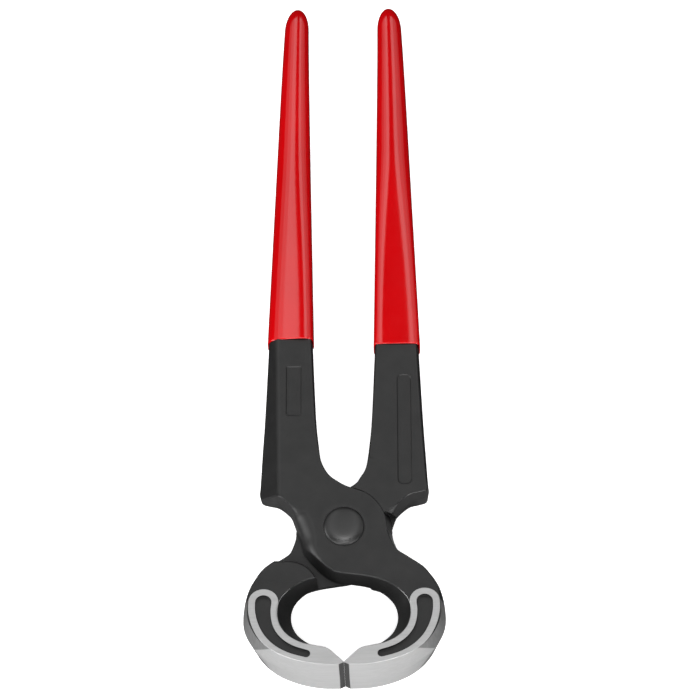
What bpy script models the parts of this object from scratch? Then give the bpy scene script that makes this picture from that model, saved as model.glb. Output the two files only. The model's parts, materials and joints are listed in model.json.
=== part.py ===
"""Hoof nipper: riveted lap-joint pincers, two forged levers of one shape, dipped plastic sleeves.

The tool lies flat, handles towards +Y, jaws towards -Y, with the pivot axis along +Z.
The origin is on the pivot axis, at the flat back face of the rivet.
Shapes are written in millimetres in the lever's own frame, whose Z = 0 is the lap plane.
"""
import math

import bmesh
import bpy
from mathutils import Vector

MM = 0.001
GAP = 0.3

# Joint
JOINT_HALF_THICKNESS = 7.4
BOSS_RADIUS_AT_FACE = 16.7
BOSS_RADIUS_AT_LAP = 19.1
SHOULDER_CENTRE = (22.2, -26.3)
SHOULDER_RADIUS = 12.2
BOSS_CLEARANCE = 0.3
RELIEF_ANGLE = 21.0
RELIEF_DEPTH = 0.6
RELIEF_SLOPE = 0.4
CROTCH_X = 3.9
CROTCH_TOP = (11.0, 31.0)
MOUTH_MIDDLE_Y = -36.0

# Rivet
RIVET_HEAD_RADIUS = 8.1
RIVET_HEAD_HEIGHT = 1.9
RIVET_FLAT_RADIUS = 5.6
RIVET_SHANK_RADIUS = 5.0
RIVET_BORE_RADIUS = RIVET_SHANK_RADIUS + GAP
RIVET_HALF_LENGTH = JOINT_HALF_THICKNESS + GAP + RIVET_HEAD_HEIGHT
MID_PLANE_Z = RIVET_HALF_LENGTH

# Handle and jaw thickness, both sides of the lap plane
HANDLE_HALF_THICKNESS = 6.0
EDGE_HALF_WIDTH = 15.1
HANDLE_TAPER_START_Y = 16.0
HANDLE_TAPER_END_Y = 79.0
JAW_FLARE_START_Y = -17.0
JAW_END_Y = -59.8
JAW_FLARE_BLEND = 6.0
HANDLE_BEVEL_START_X = -26.2
HANDLE_BEVEL_SLOPE = 1.1

# Sleeves and the tangs inside them
LEFT_SLEEVE_MOUTH_Y = 82.0
RIGHT_SLEEVE_MOUTH_Y = 79.4
SLEEVE_TIP_Y = 239.7
SLEEVE_WALL = 1.2
SLEEVE_MOUTH_CENTRE_X = -21.55
SLEEVE_LEAN = 1.65
SLEEVE_TIP_HOOK = 0.5
SLEEVE_HALF_WIDTHS = (9.45, 5.0)
SLEEVE_HALF_HEIGHTS = (6.6, 4.8)
SLEEVE_ROUNDNESS = (4.2, 2.3)
TANG_END_Y = 233.0
TANG_BURIED_LENGTH = 9.0
RING_POINTS = 24
LAP_CUT_DEPTH = 24.0

# One lever, as stations from the handle to the cutting edge. Each station has a point on the
# outer side (handle back, neck, inside of the jaw), one on the inner side (handle front, boss,
# back of the jaw), and how far the face edge stands in from each, which gives the walls draft.
HANDLE_STATIONS = [
    ((-31.7, 50.0), (-11.2, 50.0), 0.8, 0.5),
    ((-32.6, 34.0), (-10.1, 37.5), 0.8, 0.4),
    ((-33.4, 20.5), (-9.1, 30.0), 0.7, 0.3),
    ((-33.5, 17.2), (-8.1, 26.6), 0.5, 0.3),
    ((-32.4, 15.3), (-6.4, 23.4), 0.3, 0.3),
    ((-29.6, 13.9), (-4.7, 21.4), 0.3, 0.3),
    ((-26.2, 12.9), (-2.4, 19.7), 0.4, 0.3),
    ((-23.1, 9.8), (0.5, 17.9), 1.0, 0.3),
]
NECK_STATIONS = [
    ((-20.8, 6.0), (4.37, 16.32), 1.7, 0.3),
    ((-19.1, 1.2), (8.8, 15.24), 2.2, 0.9),
    ((-17.4, -4.0), (12.94, 12.94), 2.3, 1.6),
    ((-15.9, -9.2), (16.28, 9.4), 2.3, 2.1),
    ((-11.6, -14.7), (18.45, 4.94), 2.2, 2.3),
    ((-7.6, -18.5), (19.1, 0.4), 2.1, 2.3),
    ((-3.3, -20.9), (19.3, -2.5), 2.0, 2.0),
    ((3.0, -22.0), (20.4, -5.9), 2.0, 1.6),
    ((9.0, -23.1), (21.9, -8.7), 2.2, 1.5),
]
JAW_STATIONS = [
    ((14.3, -25.2), (26.4, -11.8), 2.8, 1.5),
    ((18.4, -28.8), (33.0, -16.6), 3.7, 1.5),
    ((20.4, -32.8), (37.6, -24.0), 5.0, 1.6),
    ((20.6, -37.2), (39.7, -34.0), 5.4, 1.7),
    ((18.9, -41.5), (38.3, -41.6), 5.4, 1.5),
    ((15.8, -44.6), (33.9, -48.9), 5.0, 0.9),
    ((12.2, -47.2), (27.2, -53.9), 4.2, 0.3),
    ((9.0, -49.8), (18.6, -57.2), 2.4, 0.2),
    ((6.2, -52.4), (10.0, -59.1), 0.4, 0.2),
    ((2.9, -55.4), (2.1, -59.75), 0.2, 0.2),
]
CUTTING_EDGE = ((0.25, -58.4), (0.15, -58.75), 0.05, 0.05)
SMOOTHING_STEPS = 2


def remove_everything():
    for item in list(bpy.data.objects):
        bpy.data.objects.remove(item, do_unlink=True)


def make_material(name, colour, roughness, metallic):
    material = bpy.data.materials.new(name)
    material.use_nodes = True
    shader = material.node_tree.nodes["Principled BSDF"]
    shader.inputs["Base Color"].default_value = (*colour, 1.0)
    shader.inputs["Roughness"].default_value = roughness
    shader.inputs["Metallic"].default_value = metallic
    return material


def add_object(name, shape, material, rotation=(0.0, 0.0, 0.0)):
    """Turn a bmesh in millimetres into an object at the pivot."""
    bmesh.ops.recalc_face_normals(shape, faces=shape.faces)
    bmesh.ops.scale(shape, vec=(MM, MM, MM), verts=shape.verts)
    mesh = bpy.data.meshes.new(name)
    shape.to_mesh(mesh)
    shape.free()
    item = bpy.data.objects.new(name, mesh)
    bpy.context.scene.collection.objects.link(item)
    item.location = (0.0, 0.0, MID_PLANE_Z * MM)
    item.rotation_euler = rotation
    if material is not None:
        mesh.materials.append(material)
    return item


def loft(rings):
    """A closed body through rings of equal point counts, with a flat face at each end."""
    shape = bmesh.new()
    loops = [[shape.verts.new(point) for point in ring] for ring in rings]
    for lower, upper in zip(loops, loops[1:]):
        for index in range(len(lower)):
            following = (index + 1) % len(lower)
            shape.faces.new((lower[index], lower[following], upper[following], upper[index]))
    shape.faces.new(loops[0])
    shape.faces.new(loops[-1])
    return shape


def blend(low, high, amount):
    return low + (high - low) * amount


def half_thickness(y):
    """The joint is flat; the handle thins towards the sleeve and the jaw widens to the edge."""
    if y > JAW_FLARE_START_Y + JAW_FLARE_BLEND:
        along = (y - HANDLE_TAPER_START_Y) / (HANDLE_TAPER_END_Y - HANDLE_TAPER_START_Y)
        return blend(JOINT_HALF_THICKNESS, HANDLE_HALF_THICKNESS, min(max(along, 0.0), 1.0))
    slope = (EDGE_HALF_WIDTH - JOINT_HALF_THICKNESS) / (JAW_FLARE_START_Y - JAW_END_Y)
    past_start = JAW_FLARE_START_Y - y
    if past_start < JAW_FLARE_BLEND:
        return JOINT_HALF_THICKNESS + slope * (past_start + JAW_FLARE_BLEND) ** 2 / (4 * JAW_FLARE_BLEND)
    return JOINT_HALF_THICKNESS + slope * min(past_start, JAW_FLARE_START_Y - JAW_END_Y)


def inward_normals(points, side):
    """Unit normals of an outline, pointing into the lever."""
    normals = []
    for index in range(len(points)):
        before = points[max(index - 1, 0)]
        after = points[min(index + 1, len(points) - 1)]
        along = (after - before).normalized()
        normals.append(Vector((-along.y, along.x)) * side)
    return normals


def smoothed(values, steps):
    """Catmull-Rom curve through the values, with the given steps from each to the next."""
    curve = []
    last = len(values) - 1
    for index in range(last):
        before, start = values[max(index - 1, 0)], values[index]
        end, after = values[index + 1], values[min(index + 2, last)]
        for step in range(steps):
            t = step / steps
            curve.append(0.5 * (
                2 * start + (end - before) * t
                + (2 * before - 5 * start + 4 * end - after) * t ** 2
                + (3 * start - before - 3 * end + after) * t ** 3))
    return curve + [values[last]]


def lever_body(mouth_y, has_bevel):
    """The forging from the sleeve's mouth to the cutting edge, both halves of the lap joint."""
    sleeve_seat = ((-30.25, mouth_y - GAP), (-12.65, mouth_y - GAP), 0.9, 0.7)
    forged = [sleeve_seat, *HANDLE_STATIONS, *NECK_STATIONS, *JAW_STATIONS]
    packed = [Vector((*outer, *inner)) for outer, inner, _, _ in forged]
    curve = smoothed(packed, SMOOTHING_STEPS) + [Vector((*CUTTING_EDGE[0], *CUTTING_EDGE[1]))]
    insets = smoothed([Vector(station[2:]) for station in forged], SMOOTHING_STEPS)
    insets.append(Vector(CUTTING_EDGE[2:]))
    outer = [point.xy for point in curve]
    inner = [point.zw for point in curve]
    outer_normals = inward_normals(outer, 1)
    inner_normals = inward_normals(inner, -1)
    rings = []
    for index, inset in enumerate(insets):
        outer_face = outer[index] + outer_normals[index] * inset.x
        inner_face = inner[index] + inner_normals[index] * inset.y
        outer_z = half_thickness(outer_face.y)
        inner_z = half_thickness(inner_face.y)
        rings.append([
            (outer[index].x, outer[index].y, 0.0),
            (outer_face.x, outer_face.y, outer_z),
            (inner_face.x, inner_face.y, inner_z),
            (inner[index].x, inner[index].y, 0.0),
            (inner_face.x, inner_face.y, -inner_z),
            (outer_face.x, outer_face.y, -outer_z),
        ])
    body = loft(rings)
    bmesh.ops.recalc_face_normals(body, faces=body.faces)
    if has_bevel:
        cut_handle_bevel(body)
    return body


def cut_handle_bevel(body):
    """The wide bevel along the back of the handle, on its upper side only."""
    cut = bmesh.ops.bisect_plane(
        body,
        geom=body.verts[:] + body.edges[:] + body.faces[:],
        plane_co=(HANDLE_BEVEL_START_X, 0.0, JOINT_HALF_THICKNESS - 0.4),
        plane_no=(-HANDLE_BEVEL_SLOPE, 0.0, 1.0),
        clear_outer=True,
    )
    rim = [item for item in cut["geom_cut"] if isinstance(item, bmesh.types.BMEdge)]
    bmesh.ops.edgeloop_fill(body, edges=rim)


def polar(radius, degrees, z):
    angle = math.radians(degrees)
    return (radius * math.cos(angle), radius * math.sin(angle), z)


def lap_outline(boss_radius, z):
    """Plan of what the other lever's half of the joint needs, swept over the opening angle."""
    reach = 4 * BOSS_RADIUS_AT_LAP
    crotch_angle = 180 - math.degrees(math.acos(CROTCH_X / boss_radius))
    relief_angle = 180 - RELIEF_ANGLE
    outline = [(-CROTCH_TOP[0], reach, z), (-CROTCH_TOP[0], CROTCH_TOP[1], z)]
    for step in range(17):
        outline.append(polar(boss_radius, blend(crotch_angle, relief_angle, step / 16), z))
    outline.append(polar(boss_radius + RELIEF_DEPTH, relief_angle, z))
    outline.append((-reach, outline[-1][1] - RELIEF_SLOPE * (reach - boss_radius), z))
    outline.append((-reach, MOUTH_MIDDLE_Y, z))
    outline.append((SHOULDER_CENTRE[0] - SHOULDER_RADIUS - GAP / 2, MOUTH_MIDDLE_Y, z))
    for step in range(9):
        x, y, _ = polar(SHOULDER_RADIUS, blend(180, 90, step / 8), z)
        outline.append((SHOULDER_CENTRE[0] + x - GAP / 2, SHOULDER_CENTRE[1] + y + GAP / 2, z))
    outline.append((reach, SHOULDER_CENTRE[1] + SHOULDER_RADIUS + GAP / 2, z))
    outline.append((reach, reach, z))
    return outline


def lap_cutter(name):
    """Removes the half of the joint below the lap plane. The boss wall is a cone."""
    cone = (BOSS_RADIUS_AT_LAP - BOSS_RADIUS_AT_FACE) / JOINT_HALF_THICKNESS
    rings = []
    for z in (GAP / 2, -LAP_CUT_DEPTH):
        rings.append(lap_outline(BOSS_RADIUS_AT_LAP + BOSS_CLEARANCE + cone * z, z))
    return make_cutter(name, loft(rings))


def turned(profile, segments):
    """A solid of revolution about Z from (radius, z) points, closed on the axis at both ends."""
    rings = [[polar(r, 360 * k / segments, z) for k in range(segments)] for r, z in profile]
    return loft(rings)


def bore_cutter(name):
    length = 2 * JOINT_HALF_THICKNESS
    return make_cutter(name, turned([(RIVET_BORE_RADIUS, -length), (RIVET_BORE_RADIUS, length)], 32))


def make_cutter(name, shape):
    cutter = add_object(name, shape, None)
    cutter.hide_render = True
    cutter.display_type = "WIRE"
    return cutter


def section_ring(centre_x, y, half_width, half_height, roundness):
    """A rounded section across a handle: roundness 2 is an ellipse, larger is squarer."""
    ring = []
    for step in range(RING_POINTS):
        angle = 2 * math.pi * step / RING_POINTS
        c, s = math.cos(angle), math.sin(angle)
        x = math.copysign(abs(c) ** (2 / roundness), c) * half_width
        z = math.copysign(abs(s) ** (2 / roundness), s) * half_height
        ring.append((centre_x + x, y, z))
    return ring


def sleeve_section(y):
    """Centre, half width, half height and roundness of the left sleeve's outside at y."""
    along = (y - LEFT_SLEEVE_MOUTH_Y) / (SLEEVE_TIP_Y - LEFT_SLEEVE_MOUTH_Y)
    centre_x = SLEEVE_MOUTH_CENTRE_X + SLEEVE_LEAN * along + SLEEVE_TIP_HOOK * along ** 8
    half_width = blend(*SLEEVE_HALF_WIDTHS, along)
    half_height = blend(*SLEEVE_HALF_HEIGHTS, along)
    return centre_x, half_width, half_height, blend(*SLEEVE_ROUNDNESS, min(2 * along, 1.0))


def sleeve_rings(start_y, end_y, inset, nose):
    """Rings along a sleeve or tang: straight sides, then a rounded nose of the given length."""
    rings = []
    straight_steps = 6
    nose_steps = 5
    for step in range(straight_steps):
        y = blend(start_y, end_y - nose, step / straight_steps)
        centre_x, half_width, half_height, roundness = sleeve_section(y)
        rings.append(section_ring(centre_x, y, half_width - inset, half_height - inset, roundness))
    for step in range(nose_steps + 1):
        turn = math.radians(blend(0, 80, step / nose_steps))
        y = end_y - nose + nose * math.sin(turn) / math.sin(math.radians(80))
        centre_x, half_width, half_height, roundness = sleeve_section(y)
        size = math.cos(turn)
        ring = section_ring(
            centre_x, y, (half_width - inset) * size, (half_height - inset) * size, roundness)
        rings.append(ring)
    return rings


def tang_shape(mouth_y):
    """The handle inside its sleeve, a little slimmer than the sleeve's bore."""
    return loft(sleeve_rings(mouth_y - TANG_BURIED_LENGTH, TANG_END_Y, SLEEVE_WALL + GAP, 5.0))


def sleeve_shape(mouth_y):
    """A dipped sleeve: one shell with a closed nose and an open mouth."""
    outside = sleeve_rings(mouth_y, SLEEVE_TIP_Y, 0.0, 9.0)
    inside = sleeve_rings(mouth_y, TANG_END_Y + 3 * GAP, SLEEVE_WALL, 5.0 + GAP)
    return loft(list(reversed(outside)) + inside)


def add_lever(name, mouth_y, has_bevel, material, rotation):
    lever = add_object(name, lever_body(mouth_y, has_bevel), material, rotation)
    tang = make_cutter(name + "_tang_tool", tang_shape(mouth_y))
    lap = lap_cutter(name + "_lap_tool")
    bore = bore_cutter(name + "_bore_tool")
    for tool, operation in ((tang, "UNION"), (lap, "DIFFERENCE"), (bore, "DIFFERENCE")):
        tool.rotation_euler = rotation
        modifier = lever.modifiers.new(tool.name, "BOOLEAN")
        modifier.operation = operation
        modifier.solver = "EXACT"
        modifier.object = tool
    return lever


def add_sleeve(name, mouth_y, material, rotation):
    sleeve = add_object(name, sleeve_shape(mouth_y), material, rotation)
    sleeve.data.shade_smooth()
    sleeve.data.set_sharp_from_angle(angle=math.radians(50))
    return sleeve


def add_rivet(material):
    """Shank and two low domed heads with flat tops."""
    head_bottom = JOINT_HALF_THICKNESS + GAP
    top = head_bottom + RIVET_HEAD_HEIGHT
    half = [
        (RIVET_FLAT_RADIUS, top),
        (RIVET_HEAD_RADIUS - 1.2, top - 0.35),
        (RIVET_HEAD_RADIUS - 0.35, top - 0.95),
        (RIVET_HEAD_RADIUS, head_bottom + 0.3),
        (RIVET_HEAD_RADIUS - 0.15, head_bottom),
        (RIVET_SHANK_RADIUS, head_bottom),
    ]
    profile = half + [(radius, -z) for radius, z in reversed(half)]
    rivet = add_object("pivot_rivet", turned(profile, 32), material)
    rivet.data.shade_smooth()
    rivet.data.set_sharp_from_angle(angle=math.radians(50))
    return rivet


def main():
    remove_everything()
    black_steel = make_material("black_steel", (0.045, 0.045, 0.047), 0.5, 0.6)
    rivet_steel = make_material("rivet_steel", (0.05, 0.05, 0.053), 0.42, 0.6)
    red_plastic = make_material("red_plastic", (0.6, 0.004, 0.008), 0.25, 0.0)
    half_turn = (0.0, math.pi, 0.0)
    add_lever("front_lever", LEFT_SLEEVE_MOUTH_Y, True, black_steel, (0.0, 0.0, 0.0))
    add_lever("rear_lever", RIGHT_SLEEVE_MOUTH_Y, False, black_steel, half_turn)
    add_rivet(rivet_steel)
    add_sleeve("left_grip_sleeve", LEFT_SLEEVE_MOUTH_Y, red_plastic, (0.0, 0.0, 0.0))
    add_sleeve("right_grip_sleeve", RIGHT_SLEEVE_MOUTH_Y, red_plastic, half_turn)


main()
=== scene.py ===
"""Hoof nipper: finished forgings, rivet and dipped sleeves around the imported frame.

Lever shapes are in millimetres in the lever's own frame: the pivot axis is Z, the lap plane is
Z = 0, handles point to +Y and jaws to -Y. The rear lever is the same forging turned over.
"""
import json
import math

import bmesh
import bpy
from mathutils import Matrix, Vector


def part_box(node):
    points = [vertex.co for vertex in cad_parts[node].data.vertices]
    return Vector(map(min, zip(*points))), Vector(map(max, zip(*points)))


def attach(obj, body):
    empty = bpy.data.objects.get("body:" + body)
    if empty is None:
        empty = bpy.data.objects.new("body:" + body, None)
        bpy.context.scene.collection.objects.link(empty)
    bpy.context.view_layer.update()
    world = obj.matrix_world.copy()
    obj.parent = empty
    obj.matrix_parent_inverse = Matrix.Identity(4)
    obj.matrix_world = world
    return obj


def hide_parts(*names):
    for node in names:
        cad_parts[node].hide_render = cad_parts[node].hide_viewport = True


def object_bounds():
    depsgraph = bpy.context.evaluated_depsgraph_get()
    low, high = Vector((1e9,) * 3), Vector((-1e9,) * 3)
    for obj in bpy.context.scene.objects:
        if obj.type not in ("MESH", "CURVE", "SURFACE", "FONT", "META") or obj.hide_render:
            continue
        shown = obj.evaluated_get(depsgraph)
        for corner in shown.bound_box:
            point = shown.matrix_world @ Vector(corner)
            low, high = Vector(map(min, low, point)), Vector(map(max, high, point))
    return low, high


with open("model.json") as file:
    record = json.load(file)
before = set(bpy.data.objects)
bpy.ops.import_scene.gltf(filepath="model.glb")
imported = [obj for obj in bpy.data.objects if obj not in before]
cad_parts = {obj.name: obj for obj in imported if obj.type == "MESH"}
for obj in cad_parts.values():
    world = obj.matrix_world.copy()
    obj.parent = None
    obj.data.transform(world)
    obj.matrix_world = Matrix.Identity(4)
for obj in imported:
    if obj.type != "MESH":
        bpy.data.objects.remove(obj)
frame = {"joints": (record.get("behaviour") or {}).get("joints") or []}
cad_low, cad_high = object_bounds()

MM = 0.001
PIVOT = Vector(frame["joints"][0]["pos_m"])

# Joint: the boss is a cone, widest at the lap plane, that turns inside the other lever's wall
JOINT_HALF_THICKNESS = 7.4
BOSS_RADIUS_AT_FACE = 16.7
BOSS_RADIUS_AT_LAP = 19.1
BOSS_CONE = (BOSS_RADIUS_AT_LAP - BOSS_RADIUS_AT_FACE) / JOINT_HALF_THICKNESS
BOSS_WALL_STEPS = 96
BOSS_TRIM_ANGLES = (60, -3.5)
BOSS_TRIM_STEPS = 72
BOSS_TRIM_OUTSIDE = [(24, -8), (30, 26), (24, 60)]  # radius and degrees, past the forging
BOSS_TRIM_TOP = 1.2 * JOINT_HALF_THICKNESS
SEAM_GAP = 0.05

# The step where a jaw rises beside the other lever's boss, the room that the neck needs to open,
# and the crotch between the handles
SHOULDER_CENTRE = Vector((22.2, -26.3))
SHOULDER_RADIUS = 12.2
SHOULDER_STEPS = 24
STEP_EDGE_RADIUS = 1.1
STEP_EDGE_STEPS = 5
STEP_EDGE_SPREAD = 1.2
RELIEF_ANGLE = 21.0
RELIEF_DEPTH = 0.85
RELIEF_SLOPE = 0.4
CROTCH_X = 3.9
CROTCH_STEPS = 4
CROTCH_CURVE = [(-11.0, 40.0), (-10.4, 30.8), (-8.9, 24.8), (-6.6, 20.9)]
MOUTH_MIDDLE_Y = -36.0
LAP_GAP = 0.3
LAP_CUT_DEPTH = 24.0

# Rivet: RIVET_FULLNESS below 1 gives a flat crown that falls off quickly at its rim
RIVET_SHANK_RADIUS = 5.0
RIVET_HEAD_GAP = 0.06
RIVET_RIM_HEIGHT = 0.15
RIVET_RIM_UNDERCUT = 0.12
RIVET_CROWN_STEPS = 30
RIVET_FULLNESS = 0.6
RIVET_ROUND_STEPS = 96
BORE_ROUND_STEPS = 64

# Handle and jaw thickness, both sides of the lap plane
HANDLE_HALF_THICKNESS = 6.0
EDGE_HALF_WIDTH = 15.1
HANDLE_TAPER_START_Y = 16.0
HANDLE_TAPER_END_Y = 79.0
JAW_FLARE_START_Y = -17.0
JAW_END_Y = -59.8
JAW_FLARE_BLEND = 6.0
JAW_SLOPE = (EDGE_HALF_WIDTH - JOINT_HALF_THICKNESS) / (JAW_FLARE_START_Y - JAW_END_Y)
BEVEL_POINT = Vector((-26.2, 0.0, 7.0))
BEVEL_NORMAL = Vector((-1.1, 0.0, 1.0))

# Raised, ground rim round the black pocket on each side of a jaw: centre line and half width
POCKET_SPINE = [
    ((31.3, -32.4), 3.2), ((31.4, -36.3), 3.0), ((30.6, -41.0), 2.65), ((28.6, -45.7), 2.3),
    ((25.1, -49.8), 2.0), ((20.4, -52.8), 1.75), ((14.5, -54.8), 1.6),
]
RIM_WIDTH = 2.55
RIM_HEIGHT = 0.35
RIM_START_Y = -24.5
RIM_START_LENGTH = 2.0
RIM_TOP_STEPS = 15
RIM_MOUTH_POINTS = 31
RIM_BACK_POINTS = 21
RIM_MOUTH_END = Vector((13.6, -50.4))
RIM_BACK_END = Vector((29.8, -52.2))
RIM_RELIEF_LEVELS = [(-0.015, 0.0), (3.0, 0.9)]  # how high, and how far the outline has grown
RIM_RELIEF_OUTSIDE_X = 55.0
RIM_RELIEF_START_Y = -23.0
RIM_RELIEF_PAST_BACK = 3.0
RIM_RELIEF_PAST_MOUTH = 1.0
POCKET_TOP_STEPS, POCKET_TAIL_STEPS = 12, 10
POCKET_DEPTH = 0.9
POCKET_LEVELS = [(-POCKET_DEPTH, -0.55), (0.18 - POCKET_DEPTH, -0.22), (RIM_HEIGHT + 2.0, 0.42)]

# Where the ground finishes begin and end. The polished part of the wall at the jaw's back ends
# on a slanting plane through two points; past it the wall gets a darker copy of the ground steel,
# which is painted shade, and limits on normals tell sides, back and mouth apart.
GROUND_WALL_START_Y = -24.0
GROUND_FACE_START_Y = -26.3
# The groove between the tips gets a dark copy of the ground steel: painted shade
GROOVE_HALF_WIDTH = 1.6
POLISHED_WALL_LOW = Vector((35.0, -48.0, 0.0))
POLISHED_WALL_HIGH = Vector((29.0, -53.7, 14.4))
POLISHED_WALL_ACROSS = Vector((0.75, -0.66, 0.0))
POLISHED_WALL_MARGIN = 4.0
BACK_WALL_START_X = 20.0
BACK_WALL_MAX_NORMAL_Y = 0.7
SIDE_MIN_NORMAL_Z = 0.6
MOUTH_MIN_NORMAL_Y = 0.15
MOUTH_MAX_NORMAL_X = -0.3
TIP_LIMIT_SLOPE = 0.25

# Panels pressed into the handles, on the side that shows: two corners and a corner radius
FRONT_PANEL = ((-23.1, 48.0), (-17.0, 69.8), 0.5)
REAR_PANEL = ((-27.0, 17.8), (-21.4, 65.8), 2.6)
PANEL_LEVELS = [(-0.35, -0.3), (0.05, 0.15), (1.0, 0.3)]
PANEL_CORNER_STEPS = 6

# Sleeves: pairs of sizes are at the mouth and at the tip; powers are of a superellipse
SLEEVE_CENTRE_X = -21.55
SLEEVE_LEAN = 1.65
SLEEVE_TIP_CURL, SLEEVE_CURL_POWER = 0.5, 8
SLEEVE_HALF_WIDTHS = (9.45, 4.85)
SLEEVE_HALF_HEIGHTS = (6.6, 4.8)
SLEEVE_BOTTOM_POWER = 6.0
SLEEVE_TIP_POWER = 2.3
SLEEVE_TIP_OUTER_POWER = 2.2
SLEEVE_ROUNDING_RATE = 1.7
SLEEVE_NOSE = 10.0
SLEEVE_WALL = 1.2
SLEEVE_STEPS = 30
NOSE_STEPS = 12
NOSE_TURN = 86
LIP_WALL = 0.55
LIP_REACH = 0.45
LIP_STEPS = 9
LIP_OUTSIDE_LENGTH = 1.2
LIP_INSIDE_LENGTH = 4.5
LINING_START = 6.0
LINING_NOSE = 5.3
LINING_PAST_TANG = 0.9
TANG_TO_TIP = 6.7
TANG_OVERLAP = 3.0
TANG_INSET = 1.5
TANG_NOSE = 5.0
RING_POINTS = 96

# Where a lever enters its sleeve: the seat's two edges, and how it narrows past the mouth
SEAT_OUTER_X, SEAT_INNER_X = -30.4, -12.55
SEAT_INSETS = (0.9, 0.7)
SEAT_SLOPE = 0.045
SEAT_REACHES = (1.0, 4.0)
SEAT_SHRINK = 0.11

# One lever, as stations from the handle to the cutting edge. Each station has a point on the
# outer side (handle back, neck, inside of the jaw), one on the inner side (handle front, boss,
# back of the jaw), and how far the face edge stands in from each, which gives the walls draft.
HANDLE_STATIONS = [
    ((-31.7, 50.0), (-11.2, 50.0), 0.8, 0.5),
    ((-32.6, 34.0), (-10.1, 37.5), 0.8, 0.4),
    ((-33.4, 20.5), (-9.1, 30.0), 0.7, 0.3),
    ((-33.7, 16.9), (-8.1, 26.6), 0.5, 0.3),
    ((-32.7, 14.9), (-6.4, 23.4), 0.3, 0.3),
    ((-29.6, 13.9), (-4.7, 21.4), 0.3, 0.3),
    ((-26.2, 12.9), (-2.4, 19.7), 0.4, 0.3),
    ((-23.1, 9.8), (0.5, 17.9), 1.0, 0.3),
]
NECK_STATIONS = [
    ((-20.8, 6.0), (4.37, 16.32), 1.7, 0.3),
    ((-19.1, 1.2), (8.8, 15.24), 2.2, 0.9),
    ((-17.4, -4.0), (12.94, 12.94), 2.3, 1.6),
    ((-15.9, -9.2), (16.28, 9.4), 2.3, 2.1),
    ((-11.6, -14.7), (18.45, 4.94), 2.2, 2.3),
    ((-7.6, -18.5), (19.1, 0.4), 2.1, 2.3),
    ((-3.3, -20.9), (19.3, -2.5), 2.0, 2.0),
    ((3.0, -22.0), (20.4, -5.9), 2.0, 1.6),
    ((9.0, -23.1), (21.9, -8.7), 2.2, 1.5),
]
JAW_STATIONS = [
    ((14.3, -25.2), (26.4, -11.8), 2.8, 1.5),
    ((18.4, -28.8), (33.0, -16.6), 3.7, 1.7),
    ((20.4, -32.8), (37.6, -24.0), 5.0, 2.0),
    ((20.6, -37.2), (39.55, -34.0), 5.4, 2.1),
    ((18.9, -41.5), (38.75, -41.8), 5.4, 2.1),
    ((15.8, -44.6), (34.1, -49.3), 5.0, 1.5),
    ((12.1, -46.9), (27.0, -54.3), 4.2, 0.5),
    ((8.9, -49.4), (18.6, -57.6), 2.4, 0.2),
    ((6.1, -52.0), (10.0, -59.4), 0.4, 0.2),
    ((2.8, -55.2), (1.9, -59.7), 0.2, 0.2),
]
CUTTING_EDGE = ((0.03, -58.2), (0.02, -58.6), 0.01, 0.01)
SMOOTHING_STEPS = 6
WELD_DISTANCE = 1e-4

# Rounding of the forging's edges, shares being of the sides next to an edge or of the section
CORNER_STEPS = 4
MAX_ARC_SHARE = 0.42
EDGE_RADIUS = 0.4
LOW_EDGE_RADIUS = 0.5
TIP_EDGE_RADIUS = 0.15
TIP_EDGE_BLEND = 6.0
NECK_EDGE_RADIUS = 3.0
NECK_EDGE_START_Y, NECK_EDGE_BLEND_IN = -18.0, 13.0
NECK_EDGE_END_Y, NECK_EDGE_BLEND_OUT = 9.0, 6.0
BEVEL_EDGE_RADIUS = 1.2
MAX_EDGE_SHARE = 0.2
LEAST_WALL_SHARE = 0.01
SIDE_STEPS = 6

# Shading
SMOOTH_BELOW_DEGREES = 35
RIVET_SMOOTH_BELOW_DEGREES = 50
FACE_WEIGHT = 80

# Finishes of the forging; the third and fourth are darker copies of the ground steel that paint
# shade
BLACK, GROUND, GROUND_PAINTED_SHADE, GROOVE_PAINTED_SHADE = range(4)
HALF_TURN = math.pi

# Camera, in metres and degrees
VIEW_ELEVATION = 65.3
VIEW_AZIMUTH = 1.0
VIEW_ROLL = 0.2
VIEW_TARGET = Vector((0.0025, 0.07963, 0.0096))
VIEW_DISTANCE = 1.2399
LENS = 157.06

# Floor: its reach in millimetres, and how far below the tool it and the cards lie, in metres
FLOOR_SIZE = 6000.0
FLOOR_DROP = 0.0005
FLOOR_GLOW = 0.75
CARD_DROP = 0.0004

# Glowing floor cards: name, two corners in millimetres, strength
CARDS = [
    ("left_card", (-75, -12), (-30, 14), 0.25),
    ("left_neck_card", (-30, -14), (-16, 8), 2.0),
    ("right_neck_card", (16, -14), (30, 8), 0.5),
    ("mouth_card", (-22, -48), (22, -24), 0.14),
    ("right_card", (30, -12), (75, 24), 0.25),
]

# Overhead boxes side by side, dimming away from a dark gap: start and end in degrees, share
TOOL_MIDDLE = (0.0, 0.13, 0.01)
OVERHEAD_DIRECTION = (0.0, 0.418, 0.908)
OVERHEAD_DISTANCE = 1.1
OVERHEAD_LENGTH = 1.54
OVERHEAD_RADIANCE = 2.3
OVERHEAD_SPANS = [
    (-55, -37, 0.28), (-37, -22, 0.6), (-22, -8.6, 1.0),
    (5.6, 20, 1.0), (20, 40, 0.45), (40, 65, 0.25),
]

# Boxes that face the jaws: name, direction, distance, size, radiance
JAWS_MIDDLE = (0.0, -0.03, 0.01)
JAW_LIGHTS = [
    ("front", (0.0, -0.6, 0.8), 1.3, (0.8, 0.5), 8.5),
    ("left_low", (-0.5, -0.86, 0.1), 0.45, (0.35, 0.25), 11.0),
    ("right_low", (0.5, -0.86, 0.1), 0.45, (0.35, 0.25), 11.0),
    ("left_edge", (-0.9, 0.1, 0.42), 0.9, (0.35, 0.35), 4.2),
    ("right_edge", (0.9, 0.1, 0.42), 0.9, (0.35, 0.35), 1.5),
    ("left_neck", (-0.95, -0.15, 0.2), 0.8, (0.3, 0.2), 11.0),
]

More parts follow.
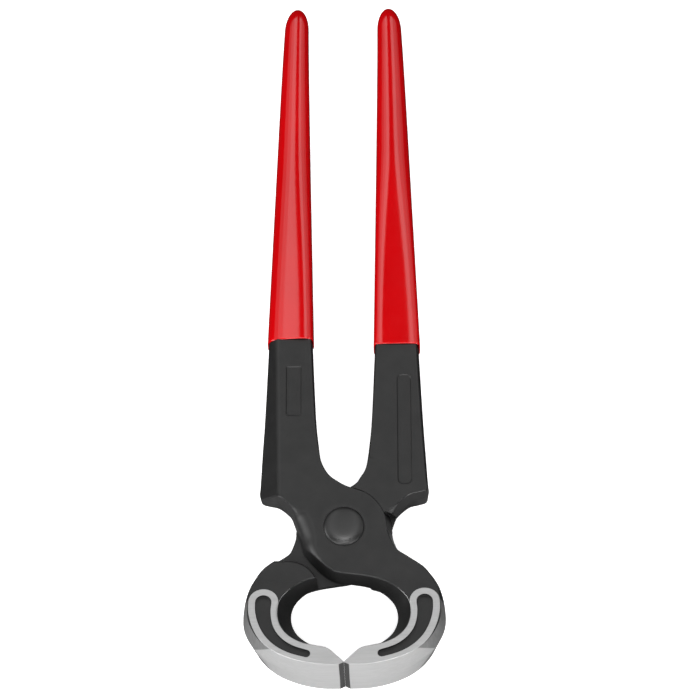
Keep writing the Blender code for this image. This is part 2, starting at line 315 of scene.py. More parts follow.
# A small spot on the rivet's head
GLINT_TARGET = (0.0, 0.0, 0.0215)
GLINT_DIRECTION = (0.0, -0.14, 0.99)
GLINT_DISTANCE = 0.6
GLINT_POWER = 6.5
GLINT_REACH = 0.0086
GLINT_SOURCE_SIZE = 0.002
GLINT_EDGE_BLEND = 0.3
WORLD_STRENGTH = 0.03


# ---------------------------------------------------------------- small geometry helpers

def blend(low, high, amount):
    return low + (high - low) * amount


def ease(amount):
    amount = min(max(amount, 0.0), 1.0)
    return amount * amount * (3 - 2 * amount)


def polar(radius, degrees):
    angle = math.radians(degrees)
    return Vector((radius * math.cos(angle), radius * math.sin(angle)))


def arc(radius, start, end, steps):
    """Points round the origin, from one angle in degrees to another."""
    return [polar(radius, blend(start, end, step / steps)) for step in range(steps + 1)]


def rotated(vector, degrees):
    turned = vector.copy()
    turned.rotate(Matrix.Rotation(math.radians(degrees), 2))
    return turned


def smoothed(values, steps):
    """Catmull-Rom curve through the values, with the given steps from each to the next."""
    curve = []
    last = len(values) - 1
    for index in range(last):
        before, start = values[max(index - 1, 0)], values[index]
        end, after = values[index + 1], values[min(index + 2, last)]
        for step in range(steps):
            t = step / steps
            curve.append(0.5 * (
                2 * start + (end - before) * t
                + (2 * before - 5 * start + 4 * end - after) * t ** 2
                + (3 * start - before - 3 * end + after) * t ** 3))
    return curve + [values[last]]


def normals_of(points, side):
    """Unit normals of an open line, on the given side of it."""
    normals = []
    for index in range(len(points)):
        before = points[max(index - 1, 0)]
        after = points[min(index + 1, len(points) - 1)]
        along = (after - before).normalized()
        normals.append(Vector((-along.y, along.x)) * side)
    return normals


def rounded(corners, radii, steps=CORNER_STEPS):
    """A closed ring of 3-D corners, each replaced by an arc; every corner gives the same count."""
    ring = []
    for index, corner in enumerate(corners):
        before = corners[index - 1] - corner
        after = corners[(index + 1) % len(corners)] - corner
        reach = min(radii[index], MAX_ARC_SHARE * before.length, MAX_ARC_SHARE * after.length)
        start = corner + before.normalized() * reach
        end = corner + after.normalized() * reach
        for step in range(steps + 1):
            t = step / steps
            ring.append(start * (1 - t) ** 2 + corner * 2 * t * (1 - t) + end * t ** 2)
    return ring


def loft(rings, material=BLACK):
    """A closed body through rings of equal point counts, with a flat face at each end."""
    shape = bmesh.new()
    loops = [[shape.verts.new(point) for point in ring] for ring in rings]
    for lower, upper in zip(loops, loops[1:]):
        for index in range(len(lower)):
            following = (index + 1) % len(lower)
            shape.faces.new((lower[index], lower[following], upper[following], upper[index]))
    shape.faces.new(loops[0])
    shape.faces.new(loops[-1])
    for face in shape.faces:
        face.material_index = material
    bmesh.ops.recalc_face_normals(shape, faces=shape.faces)
    return shape


def make_object(name, shape, materials=()):
    """Turn a bmesh in millimetres into an object in metres."""
    bmesh.ops.scale(shape, vec=(MM, MM, MM), verts=shape.verts)
    mesh = bpy.data.meshes.new(name)
    shape.to_mesh(mesh)
    shape.free()
    for material in materials:
        mesh.materials.append(material)
    item = bpy.data.objects.new(name, mesh)
    bpy.context.scene.collection.objects.link(item)
    return item


def apply_modifiers(item):
    """Bake an object's modifiers into its mesh."""
    bpy.context.view_layer.update()
    graph = bpy.context.evaluated_depsgraph_get()
    finished = bpy.data.meshes.new_from_object(item.evaluated_get(graph), depsgraph=graph)
    item.modifiers.clear()
    item.data = finished


def cut_or_join(item, tools, operation):
    """Boolean each tool shape into the item, then discard the tools."""
    for number, shape in enumerate(tools):
        tool = make_object(f"{item.name}_tool_{number}", shape, item.data.materials)
        modifier = item.modifiers.new(tool.name, "BOOLEAN")
        modifier.operation = operation
        modifier.solver = "EXACT"
        modifier.object = tool
        apply_modifiers(item)
        bpy.data.objects.remove(tool, do_unlink=True)


def finish_shading(item, degrees):
    """Smooth shading below the given angle, in which large faces stay flat."""
    item.data.shade_smooth()
    item.data.set_sharp_from_angle(angle=math.radians(degrees))
    modifier = item.modifiers.new("face_weights", "WEIGHTED_NORMAL")
    modifier.keep_sharp = True
    modifier.weight = FACE_WEIGHT
    apply_modifiers(item)


# ---------------------------------------------------------------- levers

def half_thickness(y):
    """The joint is flat; the handle thins towards the sleeve and the jaw widens to the edge."""
    if y > JAW_FLARE_START_Y + JAW_FLARE_BLEND:
        along = (y - HANDLE_TAPER_START_Y) / (HANDLE_TAPER_END_Y - HANDLE_TAPER_START_Y)
        return blend(JOINT_HALF_THICKNESS, HANDLE_HALF_THICKNESS, min(max(along, 0.0), 1.0))
    past_start = JAW_FLARE_START_Y - y
    lowered = RIM_HEIGHT * ease((past_start + JAW_FLARE_BLEND) / (2 * JAW_FLARE_BLEND))
    if past_start < JAW_FLARE_BLEND:
        rise = JAW_SLOPE * (past_start + JAW_FLARE_BLEND) ** 2 / (4 * JAW_FLARE_BLEND)
        return JOINT_HALF_THICKNESS + rise - lowered
    return jaw_plane(max(y, JAW_END_Y))


def jaw_plane(y):
    """The flat, sloping side of the jaw, below its raised rim."""
    return JOINT_HALF_THICKNESS + JAW_SLOPE * (JAW_FLARE_START_Y - y) - RIM_HEIGHT


def over_bevel(point):
    """How far a point stands over the plane of the handle's wide bevel; under it is negative."""
    return (point - BEVEL_POINT).dot(BEVEL_NORMAL)


def crossing(inside, outside):
    """Where the line between two points meets the plane of the handle's wide bevel."""
    return inside.lerp(outside, over_bevel(inside) / (over_bevel(inside) - over_bevel(outside)))


def edge_radius(y):
    """Radii of the inner and outer edge: soft on the outside of the neck, crisp where ground."""
    forged = blend(TIP_EDGE_RADIUS, EDGE_RADIUS, ease((y - RIM_BACK_END.y) / TIP_EDGE_BLEND))
    in_neck = (ease((y - NECK_EDGE_START_Y) / NECK_EDGE_BLEND_IN)
               * ease((NECK_EDGE_END_Y - y) / NECK_EDGE_BLEND_OUT))
    return forged, forged + (NECK_EDGE_RADIUS - EDGE_RADIUS) * in_neck


def side_height(y):
    """The forging before its sides are cut back round the raised rim."""
    return half_thickness(y) + RIM_HEIGHT * ease((RIM_START_Y - y) / RIM_START_LENGTH)


def lever_ring(outer, inner, outer_inset, inner_inset, has_bevel):
    """One section of the forging, all corners rounded, with sides that follow the thickness."""
    flip = Vector((1, 1, -1))
    low_outer, low_inner = outer.to_3d(), inner.to_3d()
    top_outer = Vector((*outer_inset, side_height(outer_inset.y)))
    top_inner = Vector((*inner_inset, side_height(inner_inset.y)))
    widest = MAX_EDGE_SHARE * (inner - outer).length
    edge, soft = (min(radius, widest) for radius in edge_radius(outer.y))
    under = top_outer + (low_outer - top_outer).normalized() * soft
    over = top_outer + (top_inner - top_outer).normalized() * soft
    start, end = under, over
    bevel_radius = soft
    if has_bevel and over_bevel(top_outer) > 0:
        end = crossing(top_inner, top_outer)
        bevel_radius = BEVEL_EDGE_RADIUS
        if over_bevel(low_outer) > 0:
            low_outer = crossing(top_outer * flip, low_outer)
            start = low_outer.lerp(end, LEAST_WALL_SHARE)
        else:
            start = crossing(low_outer, top_outer)
    ring = rounded(
        [low_outer, start, end, top_inner, low_inner, top_inner * flip, over * flip, under * flip],
        [LOW_EDGE_RADIUS, bevel_radius, bevel_radius, edge, LOW_EDGE_RADIUS, edge, soft, soft])
    # The two sides end at corners 6 and 3. The later one is filled first, so neither index moves.
    for corner in (6, 3):
        first = corner * (CORNER_STEPS + 1)
        before, after = ring[first - 1], ring[first]
        side = []
        for step in range(1, SIDE_STEPS):
            point = before.lerp(after, step / SIDE_STEPS)
            point.z = math.copysign(side_height(point.y), point.z)
            side.append(point)
        ring[first:first] = side
    return ring


def lever_body(mouth_y, has_bevel):
    """The forging from inside the sleeve's mouth to the cutting edge, both halves of the joint."""
    seat = ((SEAT_OUTER_X, mouth_y), (SEAT_INNER_X, mouth_y), *SEAT_INSETS)
    forged = [seat, *HANDLE_STATIONS, *NECK_STATIONS, *JAW_STATIONS]
    curve = smoothed([Vector((*outer, *inner)) for outer, inner, _, _ in forged], SMOOTHING_STEPS)
    insets = smoothed([Vector(station[2:]) for station in forged], SMOOTHING_STEPS)
    for reach in SEAT_REACHES:
        taper = Vector((SEAT_SLOPE, 1, -SEAT_SLOPE, 1))
        curve.insert(0, Vector((*seat[0], *seat[1])) + reach * taper)
        insets.insert(0, insets[0])
    curve.append(Vector((*CUTTING_EDGE[0], *CUTTING_EDGE[1])))
    insets.append(Vector(CUTTING_EDGE[2:]))
    outer = [point.xy for point in curve]
    inner = [point.zw for point in curve]
    outer_in = [p + n * inset.x for p, n, inset in zip(outer, normals_of(outer, 1), insets)]
    inner_in = [p + n * inset.y for p, n, inset in zip(inner, normals_of(inner, -1), insets)]
    rings = [lever_ring(*points, has_bevel) for points in zip(outer, inner, outer_in, inner_in)]
    for ring in rings:
        step_down(ring, mouth_y)
    body = loft(rings)
    bmesh.ops.remove_doubles(body, verts=body.verts, dist=WELD_DISTANCE)
    paint_ground_areas(body)
    return body


def step_down(ring, mouth_y):
    """The section is a little smaller where the sleeve covers it."""
    middle_x = (ring[0].x + max(point.x for point in ring)) / 2
    size = 1 - SEAT_SHRINK * ease(ring[0].y - mouth_y)
    for point in ring:
        point.x = middle_x + (point.x - middle_x) * size
        point.z *= size


def in_back_wall(face, side):
    """Whether a face is in the wall at the back of the jaw, on the given side of the lap plane."""
    centre = face.calc_center_median()
    return (centre.z * side > 0 and centre.y < GROUND_WALL_START_Y
            and centre.x > BACK_WALL_START_X and face.normal.y < BACK_WALL_MAX_NORMAL_Y
            and abs(face.normal.z) < SIDE_MIN_NORMAL_Z)


def finish_of(face):
    """Bright steel on the sides and tip, black elsewhere, and painted shade as darker steel on a
    strip down the back and in the groove.
    """
    centre, normal = face.calc_center_median(), face.normal
    if abs(normal.z) > SIDE_MIN_NORMAL_Z:
        return GROUND if centre.y < GROUND_FACE_START_Y else BLACK
    if centre.y > GROUND_WALL_START_Y:
        return BLACK
    # Painted shade: the groove's faces get a dark copy of the ground steel
    if centre.x < GROOVE_HALF_WIDTH and centre.y < CUTTING_EDGE[0][1]:
        return GROOVE_PAINTED_SHADE
    if normal.y > MOUTH_MIN_NORMAL_Y or normal.x < MOUTH_MAX_NORMAL_X:
        tip_limit = RIM_MOUTH_END.y + TIP_LIMIT_SLOPE * (RIM_MOUTH_END.x - centre.x)
        return GROUND if centre.y < tip_limit and centre.x < RIM_MOUTH_END.x else BLACK
    low, high = POLISHED_WALL_LOW, POLISHED_WALL_HIGH
    limit = blend(low.y, high.y, abs(centre.z) / high.z)
    # Past the slanting plane the back wall gets the darker ground steel: painted shade
    return GROUND if centre.y < limit or centre.x < high.x - POLISHED_WALL_MARGIN else GROUND_PAINTED_SHADE


def paint_ground_areas(body):
    """Cut the body where its finishes meet, so that each ends on an edge, then paint it."""
    for side in (1, -1):
        flip = Vector((1, 1, side))
        low, high = POLISHED_WALL_LOW * flip, POLISHED_WALL_HIGH * flip
        wall = [face for face in body.faces if in_back_wall(face, side)]
        geometry = set(wall)
        for face in wall:
            geometry.update(face.edges)
            geometry.update(face.verts)
        bmesh.ops.bisect_plane(body, geom=list(geometry), plane_co=low,
                               plane_no=(high - low).cross(POLISHED_WALL_ACROSS))
    everything = body.verts[:] + body.edges[:] + body.faces[:]
    bmesh.ops.bisect_plane(body, geom=everything, plane_co=(0, GROUND_FACE_START_Y, 0),
                           plane_no=(0, 1, 0))
    for face in body.faces:
        face.material_index = finish_of(face)


def spine_sides(extra):
    """The pocket's centre line, the same with half widths, and the two lines beside it."""
    packed = smoothed([Vector((*point, width)) for point, width in POCKET_SPINE], SMOOTHING_STEPS)
    centre = [point.xy for point in packed]
    normals = normals_of(centre, 1)
    back, mouth = ([c + n * side * (p.z + extra) for c, n, p in zip(centre, normals, packed)]
                   for side in (1, -1))
    return centre, packed, back, mouth


def end_cap(centre, normal, radius, start, steps):
    """Points round half a turn at one end of a line, clockwise from its normal turned by start."""
    return [centre + rotated(normal, start - 180 * k / steps) * radius for k in range(1, steps)]


def pocket_outline(extra):
    """The comma-shaped pocket, round at both ends, grown by extra."""
    centre, packed, back, mouth = spine_sides(extra)
    normals = normals_of(centre, 1)
    top = end_cap(centre[0], normals[0], packed[0].z + extra, 180, POCKET_TOP_STEPS)
    tail = end_cap(centre[-1], normals[-1], packed[-1].z + extra, 0, POCKET_TAIL_STEPS)
    return [*top, *back, *tail, *reversed(mouth)]


def rim_outside(extra):
    """The line round the outside of the raised rim, from the mouth side over to the back."""
    centre, packed, back, mouth = spine_sides(RIM_WIDTH + extra)
    normal = normals_of(centre, 1)[0]
    top = end_cap(centre[0], normal, packed[0].z + RIM_WIDTH + extra, 180, RIM_TOP_STEPS)
    mouth_side = reversed(mouth[:RIM_MOUTH_POINTS])
    return [RIM_MOUTH_END, *mouth_side, *top, *back[:RIM_BACK_POINTS], RIM_BACK_END]


def tilted_ring(outline, rise, side):
    """An outline laid parallel to the jaw's sloping side, raised from it."""
    return [(p.x, p.y, side * (jaw_plane(p.y) + rise)) for p in outline]


def relief_cutter(side):
    """Takes the jaw's side down around the raised rim, out to well past the forging."""
    rings = []
    for rise, extra in RIM_RELIEF_LEVELS:
        line = rim_outside(extra)
        first, last = line[0], line[-1]
        line += [Vector((RIM_RELIEF_OUTSIDE_X, last.y - RIM_RELIEF_PAST_BACK)),
                 Vector((RIM_RELIEF_OUTSIDE_X, RIM_RELIEF_START_Y)),
                 Vector((0.0, RIM_RELIEF_START_Y)),
                 Vector((0.0, first.y + RIM_RELIEF_PAST_MOUTH))]
        rings.append(tilted_ring(line, rise, side))
    return loft(rings)


def pocket_cutter(side):
    """The deep pocket, with sloping walls and a small fillet at its floor."""
    return loft([tilted_ring(pocket_outline(extra), rise, side) for rise, extra in POCKET_LEVELS])


def panel_cutter(panel, side):
    """A shallow rounded-rectangle recess in a handle."""
    (left, bottom), (right, top), radius = panel
    rings = []
    for rise, extra in PANEL_LEVELS:
        x_low, x_high, y_low, y_high = left - extra, right + extra, bottom - extra, top + extra
        corners = [Vector((x_low, y_low, 0)), Vector((x_high, y_low, 0)),
                   Vector((x_high, y_high, 0)), Vector((x_low, y_high, 0))]
        ring = rounded(corners, [radius] * 4, PANEL_CORNER_STEPS)
        rings.append([(p.x, p.y, side * (half_thickness(p.y) + rise)) for p in ring])
    return loft(rings)


def lap_outline(boss_radius, shoulder_radius):
    """Plan of what the other lever's half of the joint needs, swept over the opening angle."""
    reach = 4 * BOSS_RADIUS_AT_LAP  # well past the forging
    crotch_angle = 180 - math.degrees(math.acos(CROTCH_X / boss_radius))
    crotch = polar(boss_radius, crotch_angle)
    outline = [Vector((CROTCH_CURVE[0][0], reach))]
    outline += smoothed([*(Vector(point) for point in CROTCH_CURVE), crotch], CROTCH_STEPS)[:-1]
    outline += arc(boss_radius, crotch_angle, 180 - RELIEF_ANGLE, BOSS_WALL_STEPS)
    outline.append(polar(boss_radius + RELIEF_DEPTH, 180 - RELIEF_ANGLE))
    outline.append(Vector((-reach, outline[-1].y - RELIEF_SLOPE * (reach - boss_radius))))
    outline.append(Vector((-reach, MOUTH_MIDDLE_Y)))
    centre = SHOULDER_CENTRE + Vector((-LAP_GAP / 2, LAP_GAP / 2))
    outline.append(Vector((centre.x - shoulder_radius, MOUTH_MIDDLE_Y)))
    outline += [centre + point for point in arc(shoulder_radius, 180, 90, SHOULDER_STEPS)]
    outline.append(Vector((reach, outline[-1].y)))
    outline.append(Vector((reach, reach)))
    return outline


def lap_cutter():
    """Removes the half of the joint below the lap plane. The boss wall is a cone.

    The shoulder that stays on the jaw gets a rounded edge, which follows the jaw's side.
    """
    wall = BOSS_RADIUS_AT_LAP + SEAM_GAP
    outline = lap_outline(wall + BOSS_CONE * LAP_GAP / 2, SHOULDER_RADIUS)
    rings = [[(point.x, point.y, LAP_GAP / 2) for point in outline]]
    for step in range(STEP_EDGE_STEPS + 1):
        angle = math.radians(90 * step / STEP_EDGE_STEPS)
        depth = STEP_EDGE_RADIUS * (1 - math.sin(angle))
        growth = STEP_EDGE_RADIUS * (1 - math.cos(angle))
        outline = lap_outline(wall - BOSS_CONE * (JOINT_HALF_THICKNESS - depth),
                              SHOULDER_RADIUS - growth)
        rings.append([(point.x, point.y, depth - half_thickness(point.y)) for point in outline])
    outline = lap_outline(wall - BOSS_CONE * LAP_CUT_DEPTH,
                          SHOULDER_RADIUS - STEP_EDGE_SPREAD * STEP_EDGE_RADIUS)
    rings.append([(point.x, point.y, -LAP_CUT_DEPTH) for point in outline])
    return loft(rings)


def boss_cutter():
    """Trims the half above the lap plane to the cone that turns inside the other lever's wall."""
    rings = []
    for z in (LAP_GAP / 4, BOSS_TRIM_TOP):
        radius = BOSS_RADIUS_AT_LAP - BOSS_CONE * z
        ring = arc(radius, *BOSS_TRIM_ANGLES, BOSS_TRIM_STEPS)
        ring.append(polar(radius + RELIEF_DEPTH, BOSS_TRIM_OUTSIDE[0][1]))
        ring += [polar(*corner) for corner in BOSS_TRIM_OUTSIDE]
        rings.append([(point.x, point.y, z) for point in ring])
    return loft(rings)


def revolved(profile, segments):
    """A solid of revolution about Z from (radius, z) points, with a flat face at both ends."""
    return loft([[(*polar(r, 360 * k / segments), z) for k in range(segments)] for r, z in profile])


def add_lever(name, sleeve, body, turn, panel, materials):
    """One finished forging: front lever as it lies, rear lever turned over about Y."""
    has_bevel = turn == 0
    lever = make_object(name + "_forging", lever_body(sleeve.mouth_y, has_bevel), materials)
    cutters = [relief_cutter(1), relief_cutter(-1), pocket_cutter(1), pocket_cutter(-1)]
    cutters.append(panel_cutter(panel, 1 if has_bevel else -1))
    bore, reach = RIVET_SHANK_RADIUS + LAP_GAP, 2 * JOINT_HALF_THICKNESS
    cutters.append(revolved([(bore, -reach), (bore, reach)], BORE_ROUND_STEPS))
    cutters += [lap_cutter(), boss_cutter()]
    cut_or_join(lever, cutters, "DIFFERENCE")
    cut_or_join(lever, [sleeve.tang()], "UNION")
    finish_shading(lever, SMOOTH_BELOW_DEGREES)
    place(lever, turn)
    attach(lever, body)
    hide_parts(name)
    return lever


def place(item, turn):
    """Lay a shape made in a lever's frame onto the pivot, turned over by the given angle."""
    item.data.transform(Matrix.Translation(PIVOT) @ Matrix.Rotation(turn, 4, "Y"))
    item.data.update()


# ---------------------------------------------------------------- sleeves

class Sleeve:
    """One dipped sleeve: where it starts and ends, its tilt, and how square its mouth is."""

    def __init__(self, node, tilt, outer_power, inner_power):
        low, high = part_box(node)
        self.node = node
        self.mouth_y, self.tip_y = low.y / MM, high.y / MM
        self.tilt = math.tan(math.radians(tilt))
        self.outer_power, self.inner_power = outer_power, inner_power

    def ring(self, y, inset, size):
        """A section: squarish at the mouth, egg-shaped towards the tip."""
        along = (y - self.mouth_y) / (self.tip_y - self.mouth_y)
        curl = SLEEVE_TIP_CURL * max(along, 0) ** SLEEVE_CURL_POWER
        centre_x = SLEEVE_CENTRE_X + SLEEVE_LEAN * along + curl
        half_width = (blend(*SLEEVE_HALF_WIDTHS, along) - inset) * size
        half_height = (blend(*SLEEVE_HALF_HEIGHTS, along) - inset) * size
        oval = ease(SLEEVE_ROUNDING_RATE * along)
        outer_top = blend(self.outer_power, SLEEVE_TIP_OUTER_POWER, oval)
        inner_top = blend(self.inner_power, SLEEVE_TIP_POWER, oval)
        bottom = blend(SLEEVE_BOTTOM_POWER, SLEEVE_TIP_POWER, oval)
        points = []
        for step in range(RING_POINTS):
            direction = polar(1.0, 360 * step / RING_POINTS)
            power = bottom if direction.y < 0 else inner_top if direction.x > 0 else outer_top
            reach = (abs(direction.x) ** power + abs(direction.y) ** power) ** (-1 / power)
            x, z = reach * direction.x * half_width, reach * direction.y * half_height
            points.append(Vector((centre_x + x, y, z + self.tilt * x)))
        return points

    def rings(self, start_y, end_y, inset, nose):
        """Rings along a sleeve or tang: straight sides, then a rounded nose of the given length."""
        nose_y = end_y - nose
        rings = [self.ring(blend(start_y, nose_y, step / SLEEVE_STEPS), inset, 1.0)
                 for step in range(SLEEVE_STEPS)]
        for step in range(NOSE_STEPS + 1):
            turn = math.radians(blend(0, NOSE_TURN, step / NOSE_STEPS))
            y = nose_y + nose * math.sin(turn) / math.sin(math.radians(NOSE_TURN))
            rings.append(self.ring(y, inset, math.cos(turn)))
        return rings

    def shell(self):
        """The dipped sleeve: one shell with a closed nose, an open mouth and a soft lip."""
        outside = self.rings(self.mouth_y + LIP_OUTSIDE_LENGTH, self.tip_y, 0.0, SLEEVE_NOSE)
        lip = []
        for step in range(1, LIP_STEPS):
            angle = math.radians(180 * step / LIP_STEPS)
            inset = LIP_WALL / 2 * (1 - math.cos(angle))
            lip.append(self.ring(self.mouth_y + LIP_REACH * (1 - math.sin(angle)), inset, 1.0))
        lip.append(self.ring(self.mouth_y + LIP_INSIDE_LENGTH, LIP_WALL, 1.0))
        lining_end = self.tip_y - TANG_TO_TIP + LINING_PAST_TANG
        lining = self.rings(self.mouth_y + LINING_START, lining_end, SLEEVE_WALL, LINING_NOSE)
        return loft([*reversed(outside), *lip, *lining])

    def tang(self):
        """The forging's end inside the sleeve."""
        return loft(self.rings(self.mouth_y - TANG_OVERLAP, self.tip_y - TANG_TO_TIP,
                               TANG_INSET, TANG_NOSE))


def add_sleeve(sleeve, body, turn, material):
    """One dipped sleeve, lying or turned over as its lever is."""
    item = make_object(sleeve.node + "_dipped", sleeve.shell(), [material])
    item.data.shade_smooth()
    place(item, turn)
    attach(item, body)
    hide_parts(sleeve.node)
    return item


# ---------------------------------------------------------------- rivet

def add_rivet(material):
    """Shank with two low heads, each nearly flat on top and rounded off at its rim."""
    low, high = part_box("pivot_rivet")
    radius = (high.x - low.x) / 2 / MM
    top = (high.z - low.z) / 2 / MM
    face = JOINT_HALF_THICKNESS + RIVET_HEAD_GAP
    edge = face + RIVET_RIM_HEIGHT
    half = []
    for step in range(1, RIVET_CROWN_STEPS + 1):
        angle = math.radians(90 * step / RIVET_CROWN_STEPS)
        half.append((radius * math.sin(angle) ** RIVET_FULLNESS, blend(edge, top, math.cos(angle))))
    half += [(radius - RIVET_RIM_UNDERCUT, face), (RIVET_SHANK_RADIUS, face)]
    profile = half + [(r, -z) for r, z in reversed(half)]
    rivet = make_object("pivot_rivet_turned", revolved(profile, RIVET_ROUND_STEPS), [material])
    finish_shading(rivet, RIVET_SMOOTH_BELOW_DEGREES)
    place(rivet, 0)
    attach(rivet, "rear_half")
    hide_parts("pivot_rivet")
    return rivet


# ---------------------------------------------------------------- materials

class Nodes:
    """Short names for building one material's node tree."""

    def __init__(self, name):
        self.material = bpy.data.materials.new(name)
        self.material.use_nodes = True
        self.tree = self.material.node_tree
        self.shader = self.tree.nodes["Principled BSDF"]
        self.where = self.tree.nodes.new("ShaderNodeTexCoord").outputs["Object"]

    def link(self, source, target):
        self.tree.links.new(source, target)

    def feed(self, socket, source):
        """Link a texture to one of the shader's sockets."""
        self.link(source, self.shader.inputs[socket])

    def set(self, socket, value):
        """Give one of the shader's sockets a value that is the same all over."""
        self.shader.inputs[socket].default_value = value

    def noise(self, scale, detail=3.0, stretch=(1, 1, 1), roughness=0.5):
        """Noise in metres: scale is features per metre."""
        mapping = self.tree.nodes.new("ShaderNodeMapping")
        mapping.inputs["Scale"].default_value = stretch
        self.link(self.where, mapping.inputs["Vector"])
        noise = self.tree.nodes.new("ShaderNodeTexNoise")
        noise.inputs["Scale"].default_value = scale
        noise.inputs["Detail"].default_value = detail
        noise.inputs["Roughness"].default_value = roughness
        self.link(mapping.outputs["Vector"], noise.inputs["Vector"])
        return noise.outputs["Fac"]

    def ramp(self, factor, stops):
        """Colours that run from one stop to the next."""
        ramp = self.tree.nodes.new("ShaderNodeValToRGB")
        elements = ramp.color_ramp.elements
        while len(elements) < len(stops):
            elements.new(0.5)
        for element, (position, colour) in zip(elements, stops):
            element.position = position
            element.color = (*colour, 1.0)
        self.link(factor, ramp.inputs["Fac"])
        return ramp.outputs["Color"]

    def bump(self, height, strength, distance, before=None):
        """A bumped normal, over another one if it is given."""
        bump = self.tree.nodes.new("ShaderNodeBump")
        bump.inputs["Strength"].default_value = strength
        bump.inputs["Distance"].default_value = distance
        self.link(height, bump.inputs["Height"])
        if before is not None:
            self.link(before, bump.inputs["Normal"])
        return bump.outputs["Normal"]

    def to_range(self, value, low, high):
        """Stretch a value between 0 and 1 to the given range."""
        scale = self.tree.nodes.new("ShaderNodeMapRange")
        scale.inputs["To Min"].default_value = low
        scale.inputs["To Max"].default_value = high
        self.link(value, scale.inputs["Value"])
        return scale.outputs["Result"]


def grey(value):
    return (value, value, value)


def black_oxide(name, low, high, rough_low, rough_high):
    """Forged steel with a black finish: faint mottling and a fine grainy skin."""
    nodes = Nodes(name)
    mottle = nodes.noise(140, detail=4.0)
    grain = nodes.noise(2600)
    nodes.feed("Base Color", nodes.ramp(mottle, [(0.3, grey(low)), (0.7, grey(high))]))
    nodes.feed("Roughness", nodes.to_range(grain, rough_low, rough_high))
    mottled = nodes.bump(mottle, strength=0.10, distance=0.0004)
    grained = nodes.bump(grain, strength=0.10, distance=0.00006, before=mottled)
    nodes.feed("Normal", grained)
    nodes.set("Specular IOR Level", 0.38)
    return nodes.material


def ground_steel(name, low, high, rough_low, rough_high, stretch):
    """Bare steel with fine grinding lines, drawn out along the axis that stretch makes small."""
    nodes = Nodes(name)
    lines = nodes.noise(420, detail=5.0, stretch=stretch, roughness=0.6)
    cloud = nodes.noise(90, detail=2.0)
    nodes.feed("Base Color", nodes.ramp(lines, [(0.3, grey(low)), (0.7, grey(high))]))
    nodes.feed("Roughness", nodes.to_range(cloud, rough_low, rough_high))
    nodes.feed("Normal", nodes.bump(lines, strength=0.06, distance=0.0001))
    nodes.set("Metallic", 0.3)
    return nodes.material


def red_dip(name):
    """Glossy dipped plastic with a faint orange-peel skin."""
    nodes = Nodes(name)
    cloud = nodes.noise(35, detail=2.0)
    peel = nodes.noise(260, detail=2.0)
    colours = [(0.3, (0.47, 0.0002, 0.0015)), (0.7, (0.53, 0.0004, 0.0022))]
    nodes.feed("Base Color", nodes.ramp(cloud, colours))
    nodes.feed("Roughness", nodes.to_range(peel, 0.10, 0.15))
    nodes.feed("Normal", nodes.bump(peel, strength=0.05, distance=0.0003))
    return nodes.material


# ---------------------------------------------------------------- stage

def add_camera():
    """A long lens above and in front of the jaws, handles away from the viewer."""
    elevation, azimuth = math.radians(VIEW_ELEVATION), math.radians(VIEW_AZIMUTH)
    ahead = Vector((-math.sin(azimuth), math.cos(azimuth) * math.cos(elevation),
                    -math.cos(azimuth) * math.sin(elevation)))
    right = Vector((-ahead.z, 0.0, ahead.x)).normalized()
    right.rotate(Matrix.Rotation(math.radians(VIEW_ROLL), 3, ahead))
    up = right.cross(ahead)
    camera = bpy.data.objects.new("camera", bpy.data.cameras.new("camera"))
    camera.data.lens = LENS
    turn = Matrix((right, up, -ahead)).transposed().to_4x4()
    camera.matrix_world = Matrix.Translation(VIEW_TARGET - ahead * VIEW_DISTANCE) @ turn
    bpy.context.scene.collection.objects.link(camera)
    bpy.context.scene.camera = camera


def add_floor():
    """A plain pale surface under the tool, which neither lights it nor shows in its gloss."""
    shape = bmesh.new()
    bmesh.ops.create_grid(shape, x_segments=8, y_segments=8, size=FLOOR_SIZE)
    floor = make_object("floor", shape)
    floor.location.z = cad_low.z - FLOOR_DROP
    nodes = Nodes("pale_floor")
    nodes.set("Base Color", (0.9, 0.9, 0.9, 1))
    nodes.set("Roughness", 0.9)
    nodes.set("Emission Color", (1, 1, 1, 1))
    nodes.set("Emission Strength", FLOOR_GLOW)
    floor.data.materials.append(nodes.material)
    floor.visible_diffuse = False
    floor.visible_glossy = False


def add_card(name, low, high, strength):
    """A glowing patch on the floor, seen only as its reflection in the walls above it."""
    shape = bmesh.new()
    corners = [low, (high[0], low[1]), high, (low[0], high[1])]
    shape.faces.new([shape.verts.new((*corner, 0)) for corner in corners])
    card = make_object(name, shape)
    card.location.z = cad_low.z - CARD_DROP
    nodes = Nodes(name)
    nodes.set("Base Color", (0, 0, 0, 1))
    nodes.set("Emission Color", (1, 1, 1, 1))
    nodes.set("Emission Strength", strength)
    card.data.materials.append(nodes.material)
    card.visible_camera = False
    card.visible_diffuse = False
    card.visible_shadow = False


def aim_light(data, target, direction, distance, sideways=0.0):
    """Put a light where it faces a target; sideways shifts it across that direction."""
    light = bpy.data.objects.new(data.name, data)
    direction = Vector(direction).normalized()
    turn = direction.to_track_quat("Z", "Y").to_matrix()
    centre = Vector(target) + direction * distance - turn @ Vector((sideways, 0, 0))
    light.matrix_world = Matrix.Translation(centre) @ turn.to_4x4()
    light.visible_camera = False
    bpy.context.scene.collection.objects.link(light)


def softbox(name, size, radiance):
    """A rectangular light of the same brightness whatever its size."""
    data = bpy.data.lights.new(name, "AREA")
    data.shape = "RECTANGLE"
    data.size, data.size_y = size
    data.energy = radiance * math.pi * size[0] * size[1]
    return data


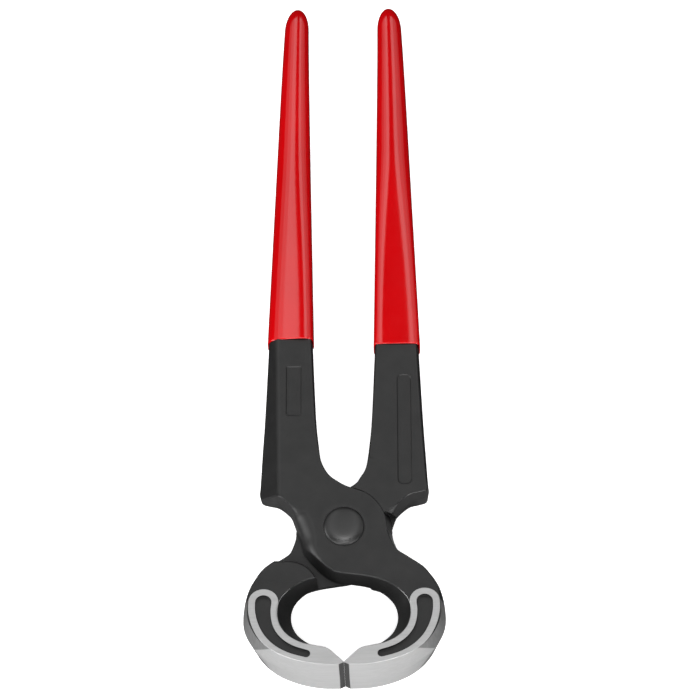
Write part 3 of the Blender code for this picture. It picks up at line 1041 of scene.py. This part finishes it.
def add_lights():
    """Overhead boxes that dim to the sides of a dark gap, boxes round the jaws, and a glint."""
    for number, (start, end, share) in enumerate(OVERHEAD_SPANS):
        low, high = (OVERHEAD_DISTANCE * math.tan(math.radians(angle)) for angle in (start, end))
        size = (high - low, OVERHEAD_LENGTH)
        box = softbox(f"overhead_{number}", size, OVERHEAD_RADIANCE * share)
        aim_light(box, TOOL_MIDDLE, OVERHEAD_DIRECTION, OVERHEAD_DISTANCE, (low + high) / 2)
    for name, direction, distance, size, radiance in JAW_LIGHTS:
        aim_light(softbox(name, size, radiance), JAWS_MIDDLE, direction, distance)
    spot = bpy.data.lights.new("rivet_glint", "SPOT")
    spot.energy = GLINT_POWER
    spot.shadow_soft_size = GLINT_SOURCE_SIZE
    spot.spot_size = 2 * math.atan(GLINT_REACH / GLINT_DISTANCE)
    spot.spot_blend = GLINT_EDGE_BLEND
    aim_light(spot, GLINT_TARGET, GLINT_DIRECTION, GLINT_DISTANCE)


def add_world():
    """A faint even fill, and colours shown as they are."""
    world = bpy.data.worlds.new("studio")
    world.use_nodes = True
    background = world.node_tree.nodes["Background"]
    background.inputs["Color"].default_value = (1.0, 1.0, 1.0, 1.0)
    background.inputs["Strength"].default_value = WORLD_STRENGTH
    bpy.context.scene.world = world
    bpy.context.scene.view_settings.view_transform = "Standard"


add_camera()
add_floor()
for card in CARDS:
    add_card(*card)
add_lights()
add_world()

forging_materials = [
    black_oxide("black_oxide_steel", 0.007, 0.011, 0.38, 0.48),
    ground_steel("ground_steel", 0.35, 0.41, 0.34, 0.42, (0.15, 3.0, 3.0)),
    # Darker copy of the ground steel: painted shade on the back wall of the jaw
    ground_steel("ground_steel_painted_shade", 0.15, 0.20, 0.42, 0.5, (3.0, 3.0, 0.15)),
    # Dark copy of the ground steel: painted shade in the groove between the tips
    ground_steel("groove_steel_painted_shade", 0.04, 0.06, 0.45, 0.55, (3.0, 3.0, 0.15)),
]
rivet_black = black_oxide("black_oxide_rivet", 0.008, 0.012, 0.36, 0.40)
red = red_dip("red_dipped_plastic")

left_sleeve = Sleeve("left_grip_sleeve", tilt=5.25, outer_power=2.9, inner_power=4.1)
right_sleeve = Sleeve("right_grip_sleeve", tilt=0.0, outer_power=5.6, inner_power=5.2)
add_lever("front_lever", left_sleeve, "front_half", 0, FRONT_PANEL, forging_materials)
add_lever("rear_lever", right_sleeve, "rear_half", HALF_TURN, REAR_PANEL, forging_materials)
add_rivet(rivet_black)
add_sleeve(left_sleeve, "front_half", 0, red)
add_sleeve(right_sleeve, "rear_half", HALF_TURN, red)
